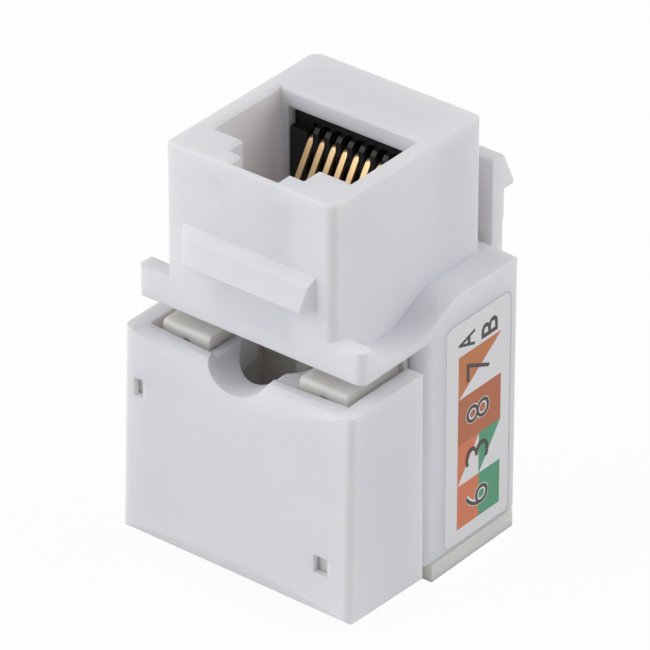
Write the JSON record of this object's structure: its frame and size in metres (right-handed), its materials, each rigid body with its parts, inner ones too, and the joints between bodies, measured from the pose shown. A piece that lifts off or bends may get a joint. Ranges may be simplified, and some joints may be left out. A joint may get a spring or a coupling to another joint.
{
  "type": "keystone jack",
  "caption": "White keystone network jack with an upward modular plug port, sprung contacts, a punch-down terminal block, a flexing panel latch and a pull-off termination cap.",
  "frame": {"origin": "on the resting face at the bottom of the terminal block's foot, on the centre line of the keystone head", "axes": "+Z out of the plug port, +Y towards the flexing panel latch, +X towards the wiring label"},
  "size_m": [0.0206, 0.0226, 0.0334],
  "materials": {
    "housing_plastic": "satin moulded polycarbonate",
    "cap_plastic": "satin moulded polycarbonate",
    "carrier_plastic": "satin moulded polycarbonate, slightly warmer",
    "black_plastic": "dull moulded polyester",
    "board_laminate": "green solder mask on glass laminate",
    "label_film": "printed film",
    "gold_plate": "gold plating on bronze wire",
    "tin_plate": "dull tin plating on bronze"
  },
  "bodies": {
    "jack": {"jack_housing": "housing_plastic", "idc_carrier": "carrier_plastic", "contact_carrier": "black_plastic", "circuit_board": "board_laminate", "wiring_label": "label_film", "contact_wire_1": "gold_plate", "contact_wire_2": "gold_plate", "contact_wire_3": "gold_plate", "contact_wire_4": "gold_plate", "contact_wire_5": "gold_plate", "contact_wire_6": "gold_plate", "contact_wire_7": "gold_plate", "contact_wire_8": "gold_plate", "idc_terminal_1": "tin_plate", "idc_terminal_2": "tin_plate", "idc_terminal_3": "tin_plate", "idc_terminal_4": "tin_plate", "idc_terminal_5": "tin_plate", "idc_terminal_6": "tin_plate", "idc_terminal_7": "tin_plate", "idc_terminal_8": "tin_plate"},
    "latch": {"panel_latch": "housing_plastic"},
    "cap": {"termination_cap": "cap_plastic"}
  },
  "joints": [
    {"name": "latch_flex", "type": "hinge", "parent": "jack", "child": "latch", "pos_m": [0, 0.01056, 0.0187], "axis": [1, 0, 0], "range_deg": [0, 8], "stiffness_Nm_per_rad": 0.2},
    {"name": "cap_pull", "type": "slide", "parent": "jack", "child": "cap", "axis": [0, -1, 0], "range_m": [0, 0.012]}
  ]
}
